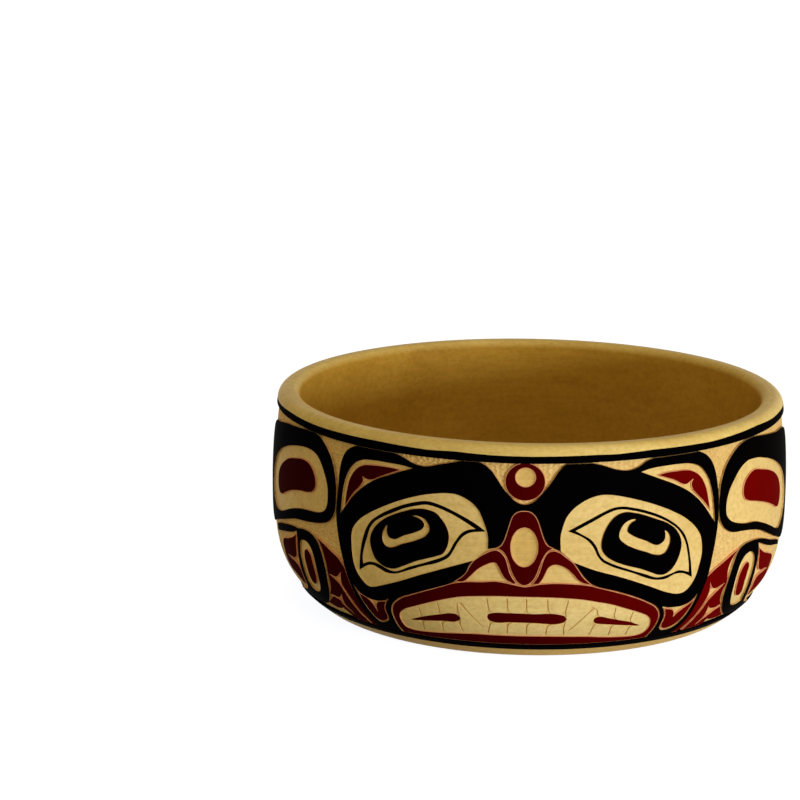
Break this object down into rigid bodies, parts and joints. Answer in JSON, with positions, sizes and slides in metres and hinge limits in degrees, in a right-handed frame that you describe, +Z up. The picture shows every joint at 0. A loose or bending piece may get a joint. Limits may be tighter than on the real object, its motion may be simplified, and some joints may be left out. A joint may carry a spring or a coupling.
{
  "type": "carved feast bowl",
  "caption": "Wide round-bellied wooden bowl, carved in low relief with a formline face and painted black and red",
  "frame": {"origin": "Centre of the flat foot, at table level", "axes": "+Z up through the middle of the bowl, -Y towards the viewer out of the middle of the carved face, +X to the viewer's right"},
  "size_m": [0.3048, 0.3042, 0.126],
  "materials": {
    "wood": "pale close-grained wood, hand finished, with gouge marks on the cut ground",
    "carved_wood": "bare wood, smoothed, in the raised eyes and teeth",
    "black_paint": "satin black paint on the raised wood",
    "red_paint": "satin dark red paint on the raised wood"
  },
  "bodies": {
    "root": {"bowl_body": "wood", "rim_stripe": "black_paint", "base_stripe": "black_paint", "front_roundel": "red_paint", "back_roundel": "red_paint", "front_nose": "red_paint", "back_nose": "red_paint", "front_mouth_slit": "red_paint", "back_mouth_slit": "red_paint", "front_right_mouth_slit": "red_paint", "back_right_mouth_slit": "red_paint", "front_left_mouth_slit": "red_paint", "back_left_mouth_slit": "red_paint", "front_teeth": "carved_wood", "back_teeth": "carved_wood", "front_lips": "red_paint", "back_lips": "red_paint", "front_right_iris": "black_paint", "back_right_iris": "black_paint", "front_left_iris": "black_paint", "back_left_iris": "black_paint", "front_right_eye": "carved_wood", "back_right_eye": "carved_wood", "front_left_eye": "carved_wood", "back_left_eye": "carved_wood", "front_right_ear": "red_paint", "back_right_ear": "red_paint", "front_left_ear": "red_paint", "back_left_ear": "red_paint", "front_right_cheek": "red_paint", "back_right_cheek": "red_paint", "front_left_cheek": "red_paint", "back_left_cheek": "red_paint", "front_brow": "black_paint", "back_brow": "black_paint", "front_right_side_red": "red_paint", "back_right_side_red": "red_paint", "front_left_side_red": "red_paint", "back_left_side_red": "red_paint", "front_right_side_form": "black_paint", "back_right_side_form": "black_paint", "front_left_side_form": "black_paint", "back_left_side_form": "black_paint", "front_right_lower_red": "red_paint", "back_right_lower_red": "red_paint", "front_left_lower_red": "red_paint", "back_left_lower_red": "red_paint", "front_right_lower_ovoid": "black_paint", "back_right_lower_ovoid": "black_paint", "front_left_lower_ovoid": "black_paint", "back_left_lower_ovoid": "black_paint", "front_right_near_fin": "red_paint", "back_right_near_fin": "red_paint", "front_left_near_fin": "red_paint", "back_left_near_fin": "red_paint", "front_right_far_fin": "red_paint", "back_right_far_fin": "red_paint", "front_left_far_fin": "red_paint", "back_left_far_fin": "red_paint"}
  },
  "joints": []
}
